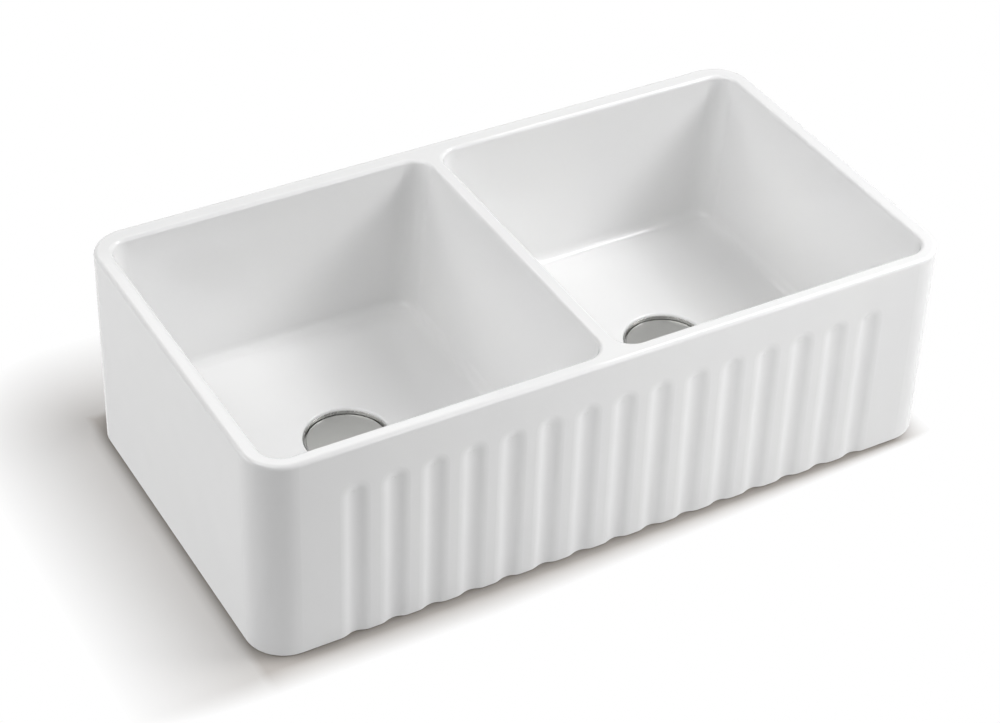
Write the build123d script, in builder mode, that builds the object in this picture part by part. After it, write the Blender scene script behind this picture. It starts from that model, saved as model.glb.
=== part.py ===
"""Double-bowl farmhouse sink with a fluted apron front, and a basket strainer in each bowl.

Millimetres. The origin is the centre of the base, +X runs along the apron to the right,
+Y runs from the apron to the back wall, and +Z is up.
"""
import os
from math import radians, tan

from build123d import *

# ---------------------------------------------------------------- fireclay body
sink_width = 838.0
sink_depth = 451.0
sink_height = 251.0
outer_corner_radius = 44.0  # upright corners, in plan
rim_outer_radius = 5.0  # rounding of the rim's outer edge
rim_inner_radius = 4.5  # rounding of the rim's bowl edges
foot_edge_radius = 2.0  # rounding round the base

# wall thicknesses are taken at the rim, and the inner faces lean inwards below it
side_wall = 18.8
front_wall = 17.0
back_wall = 22.5
divider_wall = 17.5
divider_shift = -5.5  # the divider stands a little to the left of the middle
side_draft = 5.5  # degrees, outer side walls and both faces of the divider
front_draft = 4.0  # degrees
back_draft = 1.2  # degrees
bowl_corner_radius = 24.0
floor_height = 57.0  # bowl floor beside the walls, above the base
cove_radius = 12.0  # between floor and walls

# the floor falls in a shallow dish to a round recess for the strainer's flange
dish_clearance = 13.4  # from the dish's edge to the foot of the nearest cove
floor_fall = 4.5
recess_depth = 10.9
recess_gap = 0.8  # round the flange
recess_edge_radius = 3.0
drain_mouth_radius = 0.8  # rounding of the drain hole's upper edge
drain_hole_clearance = 2.0  # round the strainer's barrel
drain_setback = {"left": 8.0, "right": -2.0}  # behind the middle of the bowl

# the underside is hollow below each bowl
underside_depth = 28.0
skirt_wall = 32.0
rib_width = 46.0
underside_corner_radius = 26.0
underside_edge_radius = 5.0

# ---------------------------------------------------------------- apron flutes
flute_count = 15
flute_pitch = 44.9
flute_half_width = 17.0
flute_depth = 3.6
flute_top = 207.0

# ---------------------------------------------------------------- basket strainer
cup_radius = 39.5
barrel_wall = 2.0  # from the cup to the crests of the barrel's thread
cup_cove_radius = 4.0
cup_floor_thickness = 2.5
lid_seat_width = 7.0
lid_seat_thickness = 1.5
lid_seat_edge_radius = 0.6
lip_height = 6.4
lip_slope = 0.8  # how far the lip's inner face leans outwards
lip_width = 0.7  # flat top of the flange's raised lip
flange_edge_radius = 0.25
spigot_radius = 23.7  # thread for the waste pipe's nut
spigot_bore_radius = 19.0
spigot_length = 11.0
crossbar_width = 4.5
crossbar_depth = 3.0
crossbar_count = 4
crossbar_root = 1.0  # into the spigot's wall
hub_radius = 8.0
hub_clearance = 0.4  # round the detent clip

flange_seal_thickness = 1.5
flange_seal_inset = 0.6  # back from the flange's edge
gasket_thickness = 3.0
gasket_width = 11.0
friction_ring_thickness = 1.0
friction_ring_width = 10.0
locknut_height = 9.0
locknut_width = 8.5
locknut_lug_count = 8
locknut_lug_width = 9.0
locknut_lug_height = 4.5
locknut_corner_radius = 1.0
thread_clearance = 0.15
ring_clearance = 0.4  # rings that slip over the barrel
thread_runout = 1.0  # barrel left below the locknut

# ---------------------------------------------------------------- lift-out basket
basket_gap = 0.8  # to the cup wall
basket_height = 22.0
basket_sheet = 1.0
basket_floor_radius = 33.0
basket_rim_width = 2.6
basket_hole_radius = 2.0
basket_floor_rings = ((13.0, 10), (20.0, 16), (27.5, 22))  # radius and count of the floor holes
basket_wall_rows = ((0.30, 24), (0.58, 24))  # share of the height and count of the wall holes
stopper_radius = 26.0
stopper_thickness = 3.4
stopper_edge = 0.8
stopper_recess_depth = 1.6
washer_radius = 7.5
washer_clearance = 1.0  # to the wall of the stopper's recess
washer_thickness = 1.2
post_radius = 3.0
post_below_seat = 8.0
post_head_height = 1.0
clip_thickness = 0.9
clip_height = 6.0
clip_slot_width = 1.6
knob_radius = 9.0
knob_stem_radius = 4.2
knob_head_height = 6.0
knob_crown = 3.0  # rise of the domed top
knob_below_lid = 1.6
knob_engagement = 5.0  # post inside the knob

# ---------------------------------------------------------------- lid over the basket
lid_gap = 0.8  # to the foot of the flange's lip
lid_height = 2.5
lid_sheet = 1.0
lid_edge_radius = 0.8
lid_slot_count = 8  # water runs in under the lid's rim
lid_slot_width = 14.0
lid_slot_height = 1.3
finger_hole_radius = 9.0
finger_hole_forward = 22.0  # in front of the lid's middle
finger_hole_hem = 0.8  # how far its turned edge reaches below the sheet
finger_hole_edge_radius = 0.5

# ---------------------------------------------------------------- worked out
front_y = -sink_depth / 2
back_y = sink_depth / 2
flute_end = flute_top - flute_half_width
floor_low = floor_height - floor_fall
seat_z = floor_low - recess_depth
flange_under = seat_z + flange_seal_thickness
lid_seat_z = flange_under + lid_seat_thickness
flange_top = lid_seat_z + lip_height
lid_seat_radius = cup_radius + lid_seat_width
lip_radius = lid_seat_radius + lip_slope
flange_radius = lip_radius + lip_width
recess_radius = flange_radius + recess_gap
barrel_radius = cup_radius + barrel_wall
drain_hole_radius = barrel_radius + drain_hole_clearance
gasket_z = underside_depth - gasket_thickness
friction_ring_z = gasket_z - friction_ring_thickness
locknut_z = friction_ring_z - locknut_height
barrel_end = locknut_z - thread_runout
cup_floor = barrel_end + cup_floor_thickness
spigot_end = barrel_end - spigot_length
ring_bore_radius = barrel_radius + ring_clearance
hub_bore_radius = post_radius + clip_thickness + hub_clearance
stopper_recess_radius = washer_radius + washer_clearance
basket_rim_radius = cup_radius - basket_gap
basket_z = cup_floor + stopper_thickness
basket_top = basket_z + basket_height
lid_radius = lid_seat_radius - lid_gap
lid_top = lid_seat_z + lid_height
knob_top = lid_top - lid_sheet - knob_below_lid
knob_z = knob_top - knob_head_height - knob_engagement
overshoot = 2.0  # how far a cutting shape runs past the face that it cuts


def bowl_rectangle(side, height):
    """Centre and size of a bowl's inside at a height, for side -1 (left) or +1 (right)."""
    below_rim = sink_height - height
    lean = below_rim * tan(radians(side_draft))
    outer_x = side * (sink_width / 2 - side_wall - lean)
    inner_x = divider_shift + side * (divider_wall / 2 + lean)
    low_y = front_y + front_wall + below_rim * tan(radians(front_draft))
    high_y = back_y - back_wall - below_rim * tan(radians(back_draft))
    centre = ((outer_x + inner_x) / 2, (low_y + high_y) / 2)
    return centre, abs(outer_x - inner_x), high_y - low_y


def underside_rectangle(side):
    """Centre and size of the hollow under a bowl."""
    outer_x = side * (sink_width / 2 - skirt_wall)
    inner_x = divider_shift + side * rib_width / 2
    centre = ((outer_x + inner_x) / 2, 0)
    return centre, abs(outer_x - inner_x), sink_depth - 2 * skirt_wall


sides = {"left": -1, "right": 1}
drain_centres = {}
floor_reaches = []  # from each drain to the nearest wall's foot
for name, side in sides.items():
    bowl_centre, width, depth = bowl_rectangle(side, floor_height)
    drain_centres[name] = (bowl_centre[0], bowl_centre[1] + drain_setback[name])
    floor_reaches.append(min(width / 2, depth / 2 - abs(drain_setback[name])))
dish_radius = min(floor_reaches) - cove_radius - dish_clearance


def upright(centre):
    """Plane through a drain's axis: its x is the radius and its y is the height."""
    return Plane(origin=(centre[0], centre[1], 0), x_dir=(1, 0, 0), z_dir=(0, -1, 0))


def level(centre, height):
    """Level plane at a height, centred on a drain."""
    return Plane(origin=(centre[0], centre[1], height))


def drain_axis(centre):
    return Axis((centre[0], centre[1], 0), (0, 0, 1))


def round_corner(section, corner, radius):
    """Round the corner of an open sketch that lies nearest a point."""
    fillet(section.vertices().sort_by_distance(corner)[0], radius=radius)


def keep(piece, name):
    """Label a finished piece and write it."""
    piece.part.label = name
    export_step(piece.part, f"parts/{name}.step")


os.makedirs("parts", exist_ok=True)

# ---------------------------------------------------------------- sink_body
# one flute: a shallow trough that runs out through the base and ends in a round top
with BuildSketch() as half_flute:
    with BuildLine():
        bed = TangentArc((0, flute_depth), (flute_half_width / 2, flute_depth / 2), tangent=(1, 0))
        shoulder = TangentArc(bed @ 1, (flute_half_width, 0), tangent=bed % 1)
        Polyline(shoulder @ 1, (flute_half_width, -overshoot), (0, -overshoot), bed @ 0)
    make_face()

with BuildPart() as flute:
    with BuildSketch(Plane.XY.offset(-overshoot)):
        add(half_flute.sketch)
        mirror(about=Plane.YZ)
    extrude(amount=flute_end + overshoot)
    with BuildSketch(Plane.XY.offset(flute_end)):
        add(half_flute.sketch)
    revolve(axis=Axis((0, 0, flute_end), (0, -1, 0)), revolution_arc=180)

with BuildPart() as sink_body:
    with BuildSketch(Plane.XY):
        RectangleRounded(sink_width, sink_depth, outer_corner_radius)
    extrude(amount=sink_height)
    with Locations((0, front_y, 0)):
        with GridLocations(x_spacing=flute_pitch, y_spacing=0, x_count=flute_count, y_count=1):
            add(flute.part, mode=Mode.SUBTRACT)
    fillet(sink_body.faces().sort_by(Axis.Z)[0].outer_wire().edges(), radius=foot_edge_radius)

    # bowls, with leaning walls and a cove round each floor
    for side in sides.values():
        for height in (floor_height, sink_height):
            centre, width, depth = bowl_rectangle(side, height)
            with BuildSketch(Plane.XY.offset(height)):
                with Locations(centre):
                    RectangleRounded(width, depth, bowl_corner_radius)
        loft(ruled=True, mode=Mode.SUBTRACT)
    fillet(sink_body.edges().filter_by_position(Axis.Z, floor_height, floor_height), radius=cove_radius)

    # soft rim
    rim = sink_body.faces().sort_by(Axis.Z)[-1]
    fillet(rim.outer_wire().edges(), radius=rim_outer_radius)
    rim = sink_body.faces().sort_by(Axis.Z)[-1]
    fillet([edge for wire in rim.inner_wires() for edge in wire.edges()], radius=rim_inner_radius)

    # hollows under the bowls
    for side in sides.values():
        centre, width, depth = underside_rectangle(side)
        with BuildSketch(Plane.XY):
            with Locations(centre):
                RectangleRounded(width, depth, underside_corner_radius)
        extrude(amount=underside_depth, mode=Mode.SUBTRACT)
    ceiling = sink_body.edges().filter_by_position(Axis.Z, underside_depth, underside_depth)
    fillet(ceiling, radius=underside_edge_radius)

    # dished floor, flange recess and drain hole
    for centre in drain_centres.values():
        with BuildSketch(upright(centre)) as section:
            with BuildLine():
                fall = TangentArc((dish_radius, floor_height), (recess_radius, floor_low), tangent=(-1, 0))
                Polyline(
                    fall @ 1,
                    (recess_radius, seat_z),
                    (drain_hole_radius, seat_z),
                    (drain_hole_radius, 0),
                    (0, 0),
                    (0, floor_height + overshoot),
                    (dish_radius, floor_height + overshoot),
                    fall @ 0,
                )
            make_face()
            round_corner(section, (recess_radius, floor_low), recess_edge_radius)
            round_corner(section, (drain_hole_radius, seat_z), drain_mouth_radius)
        revolve(axis=drain_axis(centre), mode=Mode.SUBTRACT)

keep(sink_body, "sink_body")

# ---------------------------------------------------------------- strainers, one in each bowl
for side, centre in drain_centres.items():
    axis = drain_axis(centre)

    # flange with its raised lip and lid seat, cup and threaded barrel, in one piece
    # with the crossbars over the outlet
    with BuildPart() as strainer_body:
        with BuildSketch(upright(centre)) as section:
            with BuildLine():
                Polyline(
                    (cup_radius, lid_seat_z),
                    (lid_seat_radius, lid_seat_z),
                    (lip_radius, flange_top),
                    (flange_radius, flange_top),
                    (flange_radius, flange_under),
                    (barrel_radius, flange_under),
                    (barrel_radius, barrel_end),
                    (spigot_radius, barrel_end),
                    (spigot_radius, spigot_end),
                    (spigot_bore_radius, spigot_end),
                    (spigot_bore_radius, cup_floor),
                    (cup_radius, cup_floor),
                    close=True,
                )
            make_face()
            round_corner(section, (flange_radius, flange_top), flange_edge_radius)
            round_corner(section, (lip_radius, flange_top), flange_edge_radius)
            round_corner(section, (cup_radius, lid_seat_z), lid_seat_edge_radius)
            round_corner(section, (cup_radius, cup_floor), cup_cove_radius)
        revolve(axis=axis)
        with BuildSketch(level(centre, cup_floor)):
            with PolarLocations(0, crossbar_count):
                Rectangle(spigot_bore_radius + crossbar_root, crossbar_width, align=(Align.MIN, Align.CENTER))
            Circle(hub_radius)
            Circle(hub_bore_radius, mode=Mode.SUBTRACT)
        extrude(amount=-crossbar_depth)
    keep(strainer_body, f"{side}_strainer_body")

    # clamp stack: seal under the flange, then gasket, friction ring and locknut under the sink
    with BuildPart() as flange_seal:
        with BuildSketch(level(centre, seat_z)):
            Circle(flange_radius - flange_seal_inset)
            Circle(drain_hole_radius + drain_mouth_radius, mode=Mode.SUBTRACT)
        extrude(amount=flange_seal_thickness)
    keep(flange_seal, f"{side}_flange_seal")

    with BuildPart() as body_gasket:
        with BuildSketch(level(centre, gasket_z)):
            Circle(ring_bore_radius + gasket_width)
            Circle(ring_bore_radius, mode=Mode.SUBTRACT)
        extrude(amount=gasket_thickness)
    keep(body_gasket, f"{side}_body_gasket")

    with BuildPart() as friction_ring:
        with BuildSketch(level(centre, friction_ring_z)):
            Circle(ring_bore_radius + friction_ring_width)
            Circle(ring_bore_radius, mode=Mode.SUBTRACT)
        extrude(amount=friction_ring_thickness)
    keep(friction_ring, f"{side}_friction_ring")

    with BuildPart() as locknut:
        with BuildSketch(level(centre, locknut_z)):
            Circle(barrel_radius + thread_clearance + locknut_width)
        extrude(amount=locknut_height)
        with BuildSketch(level(centre, locknut_z)):
            with PolarLocations(barrel_radius + thread_clearance + locknut_width, locknut_lug_count):
                Rectangle(2 * locknut_lug_height, locknut_lug_width)
        extrude(amount=locknut_height)
        with BuildSketch(level(centre, locknut_z)):
            Circle(barrel_radius + thread_clearance)
        extrude(amount=locknut_height, mode=Mode.SUBTRACT)
        corners = locknut.edges().filter_by(Axis.Z)
        fillet(corners, radius=locknut_corner_radius)
    keep(locknut, f"{side}_locknut")

    # basket: a pressed cup with a rolled rim, drilled in rings
    with BuildPart() as basket:
        with BuildSketch(upright(centre)):
            with BuildLine():
                wall_top = basket_rim_radius - basket_rim_width
                Polyline(
                    (post_radius, basket_z),
                    (basket_floor_radius, basket_z),
                    (wall_top, basket_top - basket_sheet),
                    (basket_rim_radius, basket_top - basket_sheet),
                    (basket_rim_radius, basket_top),
                    (wall_top - basket_sheet, basket_top),
                    (basket_floor_radius - basket_sheet, basket_z + basket_sheet),
                    (post_radius, basket_z + basket_sheet),
                    close=True,
                )
            make_face()
        revolve(axis=axis)
        for ring_radius, hole_count in basket_floor_rings:
            with BuildSketch(level(centre, basket_z)):
                with PolarLocations(ring_radius, hole_count):
                    Circle(basket_hole_radius)
            extrude(amount=basket_sheet, mode=Mode.SUBTRACT)
        for share, hole_count in basket_wall_rows:
            with Locations(level(centre, basket_z + share * basket_height)):
                with PolarLocations(0, hole_count):
                    Cylinder(
                        basket_hole_radius,
                        cup_radius,
                        rotation=(0, 90, 0),
                        align=(Align.CENTER, Align.CENTER, Align.MIN),
                        mode=Mode.SUBTRACT,
                    )
    keep(basket, f"{side}_basket")

    with BuildPart() as stopper:
        with BuildSketch(upright(centre)):
            with BuildLine():
                Polyline(
                    (post_radius, basket_z),
                    (stopper_radius - stopper_edge, basket_z),
                    (stopper_radius, basket_z - stopper_edge),
                    (stopper_radius, cup_floor + stopper_edge),
                    (stopper_radius - stopper_edge, cup_floor),
                    (stopper_recess_radius, cup_floor),
                    (stopper_recess_radius, cup_floor + stopper_recess_depth),
                    (post_radius, cup_floor + stopper_recess_depth),
                    close=True,
                )
            make_face()
        revolve(axis=axis)
    keep(stopper, f"{side}_stopper")

    with BuildPart() as stopper_washer:
        with BuildSketch(level(centre, cup_floor + stopper_recess_depth)):
            Circle(washer_radius)
            Circle(post_radius, mode=Mode.SUBTRACT)
        extrude(amount=-washer_thickness)
    keep(stopper_washer, f"{side}_stopper_washer")

    # post: runs from the split clip below the crossbars up into the knob
    clip_z = cup_floor - post_below_seat
    with BuildPart() as basket_post:
        with BuildSketch(level(centre, clip_z)):
            Circle(post_radius)
        extrude(amount=knob_z + knob_engagement - clip_z)
        with BuildSketch(level(centre, clip_z)):
            Circle(post_radius + clip_thickness)
        extrude(amount=-post_head_height)
    keep(basket_post, f"{side}_basket_post")

    with BuildPart() as detent_clip:
        with BuildSketch(level(centre, clip_z)):
            Circle(post_radius + clip_thickness)
            Circle(post_radius, mode=Mode.SUBTRACT)
            with Locations((post_radius, 0)):
                Rectangle(2 * clip_thickness, clip_slot_width, mode=Mode.SUBTRACT)
        extrude(amount=clip_height)
    keep(detent_clip, f"{side}_detent_clip")

    with BuildPart() as basket_knob:
        with BuildSketch(upright(centre)):
            with BuildLine():
                crown_z = knob_top - knob_crown
                underside = knob_top - knob_head_height
                Polyline(
                    (0, knob_top),
                    (0, knob_z + knob_engagement),
                    (post_radius, knob_z + knob_engagement),
                    (post_radius, knob_z),
                    (knob_stem_radius, knob_z),
                    (knob_stem_radius, underside),
                    (knob_radius, crown_z),
                )
                TangentArc((0, knob_top), (knob_radius, crown_z), tangent=(1, 0))
            make_face()
        revolve(axis=axis)
    keep(basket_knob, f"{side}_basket_knob")

    # lid: a pressed disc on the flange's seat, slotted under its rim, with a finger hole
    # whose edge is turned down
    finger_hole = (centre[0], centre[1] - finger_hole_forward)
    with BuildPart() as strainer_lid:
        with BuildSketch(upright(centre)) as section:
            with BuildLine():
                Polyline(
                    (lid_radius, lid_seat_z),
                    (lid_radius, lid_top),
                    (0, lid_top),
                    (0, lid_top - lid_sheet),
                    (lid_radius - lid_sheet, lid_top - lid_sheet),
                    (lid_radius - lid_sheet, lid_seat_z),
                    close=True,
                )
            make_face()
            round_corner(section, (lid_radius, lid_top), lid_edge_radius)
        revolve(axis=axis)
        with BuildSketch(level(finger_hole, lid_top - lid_sheet)):
            Circle(finger_hole_radius + lid_sheet)
        extrude(amount=-finger_hole_hem)
        with BuildSketch(level(finger_hole, lid_top)):
            Circle(finger_hole_radius)
        extrude(amount=-lid_sheet - finger_hole_hem, mode=Mode.SUBTRACT)
        hole_edge = strainer_lid.faces().sort_by(Axis.Z)[-1].inner_wires()[0].edges()
        fillet(hole_edge, radius=finger_hole_edge_radius)
        with BuildSketch(level(centre, lid_seat_z)):
            with PolarLocations(lid_radius, lid_slot_count):
                Rectangle(2 * (lid_sheet + overshoot), lid_slot_width)
        extrude(amount=lid_slot_height, mode=Mode.SUBTRACT)
    keep(strainer_lid, f"{side}_strainer_lid")
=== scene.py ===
"""White fireclay farmhouse sink: finishes, floor, light and camera.

Metres. The origin is the centre of the base, +X runs along the apron to the right,
+Y runs from the apron to the back wall, and +Z is up.
"""
import math

import bmesh
import bpy
from mathutils import Matrix, Vector


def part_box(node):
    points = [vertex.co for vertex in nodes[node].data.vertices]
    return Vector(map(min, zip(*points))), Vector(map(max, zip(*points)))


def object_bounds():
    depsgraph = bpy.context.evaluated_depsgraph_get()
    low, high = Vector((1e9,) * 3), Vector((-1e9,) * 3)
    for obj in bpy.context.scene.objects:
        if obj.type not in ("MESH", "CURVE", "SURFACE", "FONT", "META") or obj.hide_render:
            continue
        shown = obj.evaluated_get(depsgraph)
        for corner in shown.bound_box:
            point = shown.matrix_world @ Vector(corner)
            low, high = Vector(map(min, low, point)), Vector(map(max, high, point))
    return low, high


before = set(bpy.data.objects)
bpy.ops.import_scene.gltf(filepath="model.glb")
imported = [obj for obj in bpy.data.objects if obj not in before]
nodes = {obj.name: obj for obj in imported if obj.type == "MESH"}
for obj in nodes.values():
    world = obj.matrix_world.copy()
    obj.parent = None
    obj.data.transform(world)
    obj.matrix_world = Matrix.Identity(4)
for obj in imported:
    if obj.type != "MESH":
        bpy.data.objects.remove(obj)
cad_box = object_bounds()
SIDES = ("left", "right")


# ---------------------------------------------------------------- places
def centre_of(node):
    """Middle of a node's box."""
    low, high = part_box(node)
    return (low + high) / 2


drains = {side: centre_of(f"{side}_strainer_lid") for side in SIDES}


# ---------------------------------------------------------------- material helpers
def add_node(tree, kind, inputs=None, **settings):
    """A shader node with its settings, and its inputs given as values or as sockets to link."""
    node = tree.nodes.new(kind)
    for name, value in settings.items():
        setattr(node, name, value)
    for name, value in (inputs or {}).items():
        if isinstance(value, bpy.types.NodeSocket):
            tree.links.new(value, node.inputs[name])
        else:
            node.inputs[name].default_value = value
    return node


def new_look(name, colour, roughness, metallic=0.0):
    """A node-based material. Returns it with its tree, its shader and its Object coordinates.

    The colour and roughness are plain ones, which the nodes that are linked later vary.
    """
    look = bpy.data.materials.new(name)
    look.use_nodes = True
    tree = look.node_tree
    shader = tree.nodes["Principled BSDF"]
    shader.inputs["Base Color"].default_value = (*colour, 1)
    shader.inputs["Roughness"].default_value = roughness
    shader.inputs["Metallic"].default_value = metallic
    place = add_node(tree, "ShaderNodeTexCoord").outputs["Object"]
    return look, tree, shader, place


def calculate(tree, operation, *values):
    """A Math node over values or sockets."""
    inputs = dict(enumerate(values))
    return add_node(tree, "ShaderNodeMath", inputs, operation=operation).outputs["Value"]


def noise(tree, place, scale, detail=2.0, roughness=0.5):
    """Noise over a place, about 0.5 on average. The scale is in patches per metre."""
    inputs = {"Vector": place, "Scale": scale, "Detail": detail, "Roughness": roughness}
    return add_node(tree, "ShaderNodeTexNoise", inputs).outputs["Fac"]


def spread(tree, value, low, high, from_low=0.25, from_high=0.75):
    """A value brought to a new range, and kept in it."""
    inputs = {
        "Value": value,
        "From Min": from_low,
        "From Max": from_high,
        "To Min": low,
        "To Max": high,
    }
    return add_node(tree, "ShaderNodeMapRange", inputs).outputs["Result"]


def blend_colours(tree, factor, first, second):
    """The first colour where the factor is 0, and the second where it is 1."""
    mix = add_node(tree, "ShaderNodeMix", data_type="RGBA")
    colours = [socket for socket in mix.inputs if socket.type == "RGBA"]
    for socket, value in zip(colours, (first, second)):
        if isinstance(value, bpy.types.NodeSocket):
            tree.links.new(value, socket)
        else:
            socket.default_value = (*value, 1)
    tree.links.new(factor, mix.inputs["Factor"])
    return next(socket for socket in mix.outputs if socket.type == "RGBA")


def vector_maths(tree, operation, *values):
    """A Vector Math node over values or sockets."""
    return add_node(tree, "ShaderNodeVectorMath", dict(enumerate(values)), operation=operation)


def mix_shaders(tree, factor, first, second):
    """The first surface where the factor is 0, and the second where it is 1."""
    inputs = {0: factor, 1: first, 2: second}
    return add_node(tree, "ShaderNodeMixShader", inputs).outputs["Shader"]


def bump(tree, height, distance, under=None):
    """A bump that a height makes, over another one."""
    inputs = {"Height": height, "Distance": distance, "Strength": 1.0}
    if under is not None:
        inputs["Normal"] = under
    return add_node(tree, "ShaderNodeBump", inputs).outputs["Normal"]


def paint(name, look):
    """Gives a CAD piece its look."""
    nodes[name].data.materials.clear()
    nodes[name].data.materials.append(look)


# ---------------------------------------------------------------- finishes
HOLLOW_REACH = (0.3875, 0.194, 0.0285)  # unglazed hollows: X and Y from the middle, and Z
SOLE_EDGE = (0.0002, 0.0014)  # how high the bare clay reaches above the sole
SOLE_EDGE_SCALE = 160.0

GLAZE_COLOURS = ((0.884, 0.884, 0.887), (0.9, 0.9, 0.896))
GLAZE_SCALE = 6.0  # of the places where the glaze lies a little thicker
GLAZE_ROUGHNESS = (0.06, 0.12)
GLOSS_SCALE = 24.0
GLAZE_IOR = 1.52
WAVE_SCALE, WAVE_DEPTH = 11.0, 0.0009  # slow waves in the glaze
PEEL_SCALE, PEEL_DEPTH = 380.0, 0.000016  # its fine orange peel

CLAY_COLOURS = ((0.55, 0.47, 0.37), (0.74, 0.68, 0.58))
CLAY_ROUGHNESS = 0.9
GROG_SCALE, GROG_DEPTH = 900.0, 0.0003  # grains in the bare clay

RING_SCALE = 2600.0  # of the rings turned in the steel
RING_SHADE = 0.93  # the dark rings' share of the steel's colour
WEAR_SCALE = 60.0
STEEL_WEAR = (-0.04, 0.05)  # added to the steel's roughness
GRAIN_WEAR = 0.08  # added to a plain surface's roughness, or taken off


def bare_clay(tree, place):
    """1 where the clay is left unglazed: the sole of the base and the hollows above it."""
    axes = add_node(tree, "ShaderNodeSeparateXYZ", {"Vector": place}).outputs
    ragged = spread(tree, noise(tree, place, SOLE_EDGE_SCALE), *SOLE_EDGE)
    sole = calculate(tree, "LESS_THAN", axes["Z"], ragged)
    across = calculate(tree, "LESS_THAN", calculate(tree, "ABSOLUTE", axes["X"]), HOLLOW_REACH[0])
    along = calculate(tree, "LESS_THAN", calculate(tree, "ABSOLUTE", axes["Y"]), HOLLOW_REACH[1])
    low = calculate(tree, "LESS_THAN", axes["Z"], HOLLOW_REACH[2])
    hollow = calculate(tree, "MULTIPLY", calculate(tree, "MULTIPLY", across, along), low)
    return calculate(tree, "MAXIMUM", sole, hollow)


def fireclay_glaze():
    """Thick white glaze, glossy and faintly wavy, with bare clay underneath."""
    look, tree, shader, place = new_look("fireclay_glaze", (0.89, 0.89, 0.89), 0.09)
    shader.inputs["IOR"].default_value = GLAZE_IOR
    bare = bare_clay(tree, place)

    thickness = spread(tree, noise(tree, place, GLAZE_SCALE), 0, 1)
    glaze = blend_colours(tree, thickness, *GLAZE_COLOURS)
    grog = noise(tree, place, GROG_SCALE, detail=4.0)
    clay = blend_colours(tree, spread(tree, grog, 0, 1), *CLAY_COLOURS)
    tree.links.new(blend_colours(tree, bare, glaze, clay), shader.inputs["Base Color"])

    gloss = spread(tree, noise(tree, place, GLOSS_SCALE), *GLAZE_ROUGHNESS)
    bare_roughness = calculate(tree, "MULTIPLY", bare, CLAY_ROUGHNESS)
    roughness = calculate(tree, "MAXIMUM", gloss, bare_roughness)
    tree.links.new(roughness, shader.inputs["Roughness"])

    waves = bump(tree, noise(tree, place, WAVE_SCALE, detail=1.0), WAVE_DEPTH)
    peel = bump(tree, noise(tree, place, PEEL_SCALE, detail=1.0), PEEL_DEPTH, under=waves)
    rough_clay = bump(tree, calculate(tree, "MULTIPLY", grog, bare), GROG_DEPTH, under=peel)
    tree.links.new(rough_clay, shader.inputs["Normal"])
    return look


def spun_steel(name, centre, colour, roughness, groove_depth):
    """Stainless steel with fine rings turned round a drain's axis."""
    look, tree, shader, place = new_look(name, colour, roughness, metallic=1.0)
    centred = add_node(tree, "ShaderNodeMapping", {"Vector": place, "Location": -centre})
    flat = vector_maths(tree, "MULTIPLY", centred.outputs["Vector"], (1, 1, 0))
    radius = vector_maths(tree, "LENGTH", flat.outputs["Vector"]).outputs["Value"]
    turned = {"W": radius, "Scale": RING_SCALE, "Detail": 3.0}
    rings = add_node(tree, "ShaderNodeTexNoise", turned, noise_dimensions="1D").outputs["Fac"]

    least, most = (roughness + change for change in STEEL_WEAR)
    worn = spread(tree, noise(tree, place, WEAR_SCALE), least, most)
    tree.links.new(worn, shader.inputs["Roughness"])
    dark = tuple(RING_SHADE * part for part in colour)
    tree.links.new(blend_colours(tree, rings, dark, colour), shader.inputs["Base Color"])
    tree.links.new(bump(tree, rings, groove_depth), shader.inputs["Normal"])
    return look


def plain_surface(name, colour, roughness, grain, depth, contrast):
    """Rubber, fibre or moulded plastic: an even colour with a fine grain."""
    look, tree, shader, place = new_look(name, colour, roughness)
    specks = noise(tree, place, grain, detail=4.0)
    dark = tuple(contrast * part for part in colour)
    tree.links.new(blend_colours(tree, specks, dark, colour), shader.inputs["Base Color"])
    uneven = spread(tree, specks, roughness - GRAIN_WEAR, roughness + GRAIN_WEAR)
    tree.links.new(uneven, shader.inputs["Roughness"])
    tree.links.new(bump(tree, specks, depth), shader.inputs["Normal"])
    return look


# colour, roughness, and the depth of the rings
STEELS = {
    "satin_steel": ((0.6, 0.6, 0.588), 0.26, 0.000003),
    # Painted shade: the lid's steel is darker than the other steel to stand in for the dim light
    # that it reflects; its higher roughness is its own finish.
    "brushed_lid": ((0.4, 0.4, 0.388), 0.36, 0.000003),
    "polished_steel": ((0.68, 0.68, 0.67), 0.12, 0.000001),
}
# colour, roughness, the grain's scale and depth, and the dark grains' share of the colour
PLAIN_SURFACES = {
    "black_rubber": ((0.03, 0.03, 0.032), 0.55, 900.0, 0.00004, 0.85),
    "fibre_board": ((0.42, 0.33, 0.24), 0.85, 700.0, 0.00008, 0.6),
    "white_plastic": ((0.72, 0.72, 0.7), 0.42, 500.0, 0.00002, 0.96),
}
# the pieces at each drain, by their look
DRAIN_PIECES = {
    "satin_steel": ("strainer_body", "basket", "stopper_washer", "basket_post", "detent_clip"),
    "brushed_lid": ("strainer_lid",),
    "polished_steel": ("basket_knob",),
    "black_rubber": ("flange_seal", "body_gasket", "stopper"),
    "fibre_board": ("friction_ring",),
    "white_plastic": ("locknut",),
}

paint("sink_body", fireclay_glaze())
looks = {name: plain_surface(name, *values) for name, values in PLAIN_SURFACES.items()}
for side in SIDES:
    for name, values in STEELS.items():
        looks[name] = spun_steel(f"{side}_{name}", drains[side], *values)
    for name, pieces in DRAIN_PIECES.items():
        for piece in pieces:
            paint(f"{side}_{piece}", looks[name])


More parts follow.
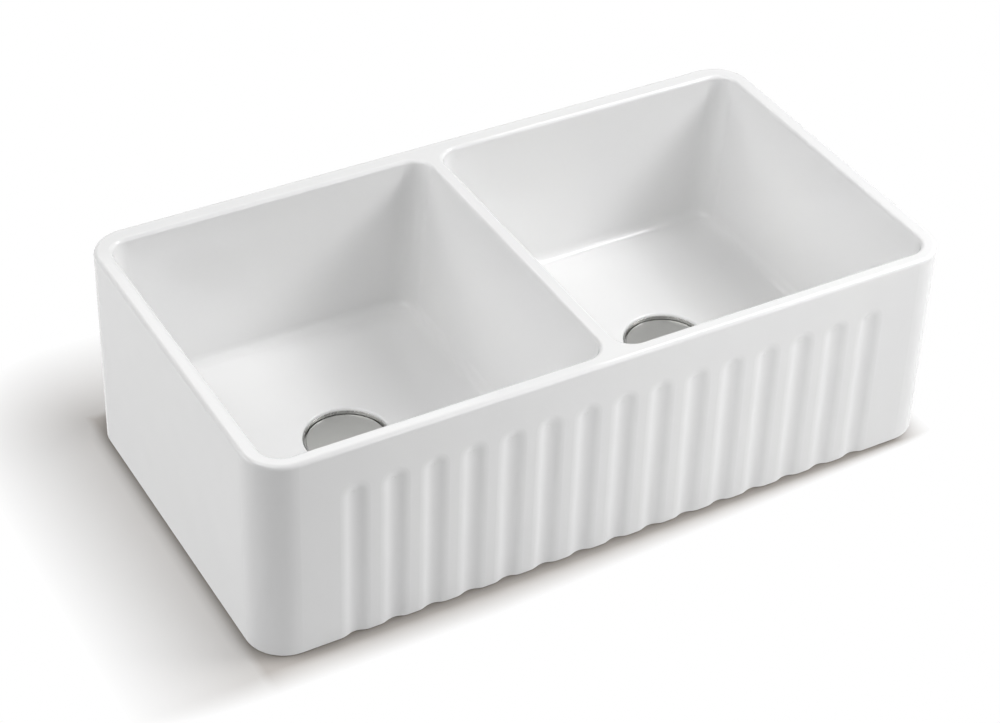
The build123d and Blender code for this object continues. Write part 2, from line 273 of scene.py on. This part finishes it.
# ---------------------------------------------------------------- floor and backdrop
FLOOR_HALF_WIDTH = 6.0
# Painted shadow: near the base the floor's colour is darkened to draw the sink's shadow, and the
# crease under it darker still as painted shade; the lamps' own shadows fall on top of it.
PAINTED_SHADOW_NEAR_BASE = (0.6, 0.568, 0.54)  # in front of the base, and right beside it
PAINTED_SHADOW_FURTHER_OUT = (0.73, 0.71, 0.692)  # further out on the shaded left and at the back
FLOOR_LIT = (0.8, 0.8, 0.8)  # for the light that the floor throws back at the sink
PAINTED_CREASE_SHADE = (0.5, 0.49, 0.48)  # in the crease where the sink stands on the floor
CONTACT_REACH = 0.02
CONTACT_OPEN = (0.5, 1.0)  # share of open space, in the crease and clear of it
CLOSE_REACH = 0.01
SIDE_REACH = 0.15  # how far the shadow runs out to the left and to the back
RIGHT_REACH = 0.05  # from the foot of the rounded corner
CORNER_RADIUS = 0.044
FRONT_REACH = (0.042, 0.012)  # at the left and at the right end of the apron
FRONT_TAPER = (-0.4, 1.0)  # where that changes, in half widths from the middle
FRONT_START = 0.2  # share of that reach over which the shadow keeps its strength


def seen_directly(tree):
    """1 for what the lens, a mirror or a window sees, 0 for the light that a surface scatters."""
    rays = add_node(tree, "ShaderNodeLightPath").outputs
    mirrored = calculate(tree, "MAXIMUM", rays["Is Glossy Ray"], rays["Is Transmission Ray"])
    return calculate(tree, "MAXIMUM", rays["Is Camera Ray"], mirrored)


def beyond(tree, distance, edge):
    """How far a distance reaches past an edge, or 0."""
    return calculate(tree, "MAXIMUM", calculate(tree, "SUBTRACT", distance, edge), 0.0)


def shadow_fade(tree, axes, left, right, front, back):
    """0 beside the base, and 1 where the painted shadow has run out. The reach differs by side.
    """
    half_width = cad_box[1][0]
    start, end = (share * half_width for share in FRONT_TAPER)
    front_reach = spread(tree, axes["X"], *FRONT_REACH, start, end)
    front_share = calculate(tree, "DIVIDE", front, front_reach)
    front_share = spread(tree, front_share, 0, 1, FRONT_START, 1.0)
    left_share = calculate(tree, "DIVIDE", left, SIDE_REACH)
    right_share = calculate(tree, "DIVIDE", right, RIGHT_REACH)
    across = calculate(tree, "ADD", left_share, right_share)
    along = calculate(tree, "ADD", front_share, calculate(tree, "DIVIDE", back, SIDE_REACH))
    squares = [calculate(tree, "POWER", share, 2.0) for share in (across, along)]
    away = calculate(tree, "SQRT", calculate(tree, "ADD", *squares))
    return spread(tree, away, 0.0, 1.0, 0.0, 1.0)


def pale_floor():
    """A floor that shows the sink's shadow and fades to plain white further out.

    The lens alone sees the shadow: lamp light on a colour painted darker near the base, as
    painted shadow, and darker still in the crease, as painted shade. A mirror sees plain white,
    and the sink is lit by an evenly pale floor.
    """
    look = bpy.data.materials.new("pale_floor")
    look.use_nodes = True
    tree = look.node_tree
    tree.nodes.clear()
    place = add_node(tree, "ShaderNodeTexCoord").outputs["Object"]
    axes = add_node(tree, "ShaderNodeSeparateXYZ", {"Vector": place}).outputs
    half_width, half_depth = cad_box[1][0], cad_box[1][1]
    left = beyond(tree, calculate(tree, "MULTIPLY", axes["X"], -1.0), half_width)
    right = beyond(tree, axes["X"], half_width - CORNER_RADIUS)
    front = beyond(tree, calculate(tree, "MULTIPLY", axes["Y"], -1.0), half_depth)
    back = beyond(tree, axes["Y"], half_depth)
    fade = shadow_fade(tree, axes, left, right, front, back)

    # Painted shadow: the floor's colour is darker close to the base and lighter further out.
    sideways_out = calculate(tree, "MAXIMUM", left, back)
    clear = spread(tree, sideways_out, 0, 1, 0.0, CLOSE_REACH)
    painted_shadow_tone = blend_colours(tree, clear, PAINTED_SHADOW_NEAR_BASE, PAINTED_SHADOW_FURTHER_OUT)
    # Painted shade in the crease under the base, darker where less of the space above the floor
    # is open.
    near = add_node(tree, "ShaderNodeAmbientOcclusion", {"Distance": CONTACT_REACH}).outputs["AO"]
    crease = blend_colours(tree, spread(tree, near, 0, 1, *CONTACT_OPEN), PAINTED_CREASE_SHADE, (1, 1, 1))
    painted_shadow_colour = vector_maths(tree, "MULTIPLY", painted_shadow_tone, crease).outputs["Vector"]
    seen = add_node(tree, "ShaderNodeBsdfDiffuse", {"Color": painted_shadow_colour}).outputs["BSDF"]
    plain_white = {"Color": (1, 1, 1, 1), "Strength": 1.0}
    white = add_node(tree, "ShaderNodeEmission", plain_white).outputs["Emission"]
    by_lens = add_node(tree, "ShaderNodeLightPath").outputs["Is Camera Ray"]
    whiteness = calculate(tree, "MAXIMUM", fade, calculate(tree, "SUBTRACT", 1.0, by_lens))
    shown = mix_shaders(tree, whiteness, seen, white)
    lit = add_node(tree, "ShaderNodeBsdfDiffuse", {"Color": (*FLOOR_LIT, 1)}).outputs["BSDF"]
    surface = mix_shaders(tree, seen_directly(tree), lit, shown)
    add_node(tree, "ShaderNodeOutputMaterial", {"Surface": surface})
    return look


def make_floor():
    """A large square that the sink stands on."""
    mesh = bpy.data.meshes.new("floor")
    plane = bmesh.new()
    bmesh.ops.create_grid(plane, x_segments=1, y_segments=1, size=FLOOR_HALF_WIDTH)
    plane.to_mesh(mesh)
    plane.free()
    mesh.materials.append(pale_floor())
    floor = bpy.data.objects.new("floor", mesh)
    bpy.context.scene.collection.objects.link(floor)


def white_world():
    """Plain white behind everything. It doesn't light the sink."""
    world = bpy.data.worlds.new("studio")
    bpy.context.scene.world = world
    world.use_nodes = True
    tree = world.node_tree
    tree.nodes.clear()
    plain_white = {"Color": (1, 1, 1, 1), "Strength": seen_directly(tree)}
    white = add_node(tree, "ShaderNodeBackground", plain_white).outputs["Background"]
    add_node(tree, "ShaderNodeOutputWorld", {"Surface": white})


make_floor()
white_world()


# ---------------------------------------------------------------- light and camera
# azimuth and elevation in degrees, distance and size in metres, and power in watts
SOFTBOXES = {
    "right_front": (64, 40, 3.0, 1.0, 37.0),
    "right_rake": (88, 14, 3.0, 1.0, 11.5),
    "right_high": (90, 56, 3.0, 1.0, 24.0),
    "left_high": (-60, 56, 3.0, 1.0, 11.2),
    "left_side": (-98, 56, 3.0, 1.0, 16.0),
    "left_low": (-100, 22, 3.0, 1.0, 9.5),
    "left_back": (-120, 24, 3.0, 1.0, 13.5),
    "back_high": (170, 50, 2.2, 1.0, 3.6),
    "front_near": (12, 22, 1.1, 0.5, 2.1),
    "rim_glint": (32, 16, 3.37, 0.16, 1.5),
}
PHOTO_WIDTH, PHOTO_HEIGHT = 1000, 723
SENSOR_WIDTH = 36.0  # millimetres
FOCAL_LENGTH = 2587.9  # in the photo's pixels
LENS_CENTRE = (555.0, 285.0)  # pixels, where the lens looks straight on
CAMERA_AZIMUTH = -31.92  # degrees, as the elevation and the roll are
CAMERA_ELEVATION = 35.84
CAMERA_ROLL = 2.89
CAMERA_DISTANCE = 2.8943
SIDEWAYS, UPWARDS = 0.04245, 0.05783  # from the sink's middle to the line of sight
SIGHT_LIMIT = 50.0

aim = Vector((0, 0, cad_box[1][2] / 2))


def direction(azimuth, elevation):
    """Unit vector from the sink. The azimuth counts from straight in front to the right."""
    a, e = math.radians(azimuth), math.radians(elevation)
    return Vector((math.sin(a) * math.cos(e), -math.cos(a) * math.cos(e), math.sin(e)))


def add_to_scene(name, data):
    """An object in the scene that holds a lamp or a camera."""
    holder = bpy.data.objects.new(name, data)
    bpy.context.scene.collection.objects.link(holder)
    return holder


def softbox(name, azimuth, elevation, distance, size, power):
    """A square lamp aimed at the sink."""
    lamp = bpy.data.lights.new(name, "AREA")
    lamp.size = size
    lamp.energy = power
    holder = add_to_scene(name, lamp)
    holder.location = aim + distance * direction(azimuth, elevation)
    holder.rotation_euler = (aim - holder.location).to_track_quat("-Z", "Y").to_euler()


def set_camera():
    """The camera that took the photo, as fitted to the sink's edges in it."""
    back = direction(CAMERA_AZIMUTH, CAMERA_ELEVATION)
    level = Vector((-back.y, back.x, 0)).normalized()
    right = Matrix.Rotation(math.radians(CAMERA_ROLL), 3, back) @ level
    up = back.cross(right)
    middle = Vector((0, 0, (cad_box[0][2] + cad_box[1][2]) / 2))
    place = middle + SIDEWAYS * right + UPWARDS * up + CAMERA_DISTANCE * back
    turn = Matrix((right, up, back)).transposed().to_4x4()
    camera = bpy.data.cameras.new("camera")
    camera.sensor_width = SENSOR_WIDTH
    camera.lens = FOCAL_LENGTH / PHOTO_WIDTH * SENSOR_WIDTH
    camera.shift_x = (PHOTO_WIDTH / 2 - LENS_CENTRE[0]) / PHOTO_WIDTH
    camera.shift_y = (LENS_CENTRE[1] - PHOTO_HEIGHT / 2) / PHOTO_WIDTH
    camera.clip_end = SIGHT_LIMIT
    holder = add_to_scene("camera", camera)
    holder.matrix_world = Matrix.Translation(place) @ turn
    bpy.context.scene.camera = holder


for name, settings in SOFTBOXES.items():
    softbox(name, *settings)
set_camera()
bpy.context.scene.view_settings.view_transform = "Standard"
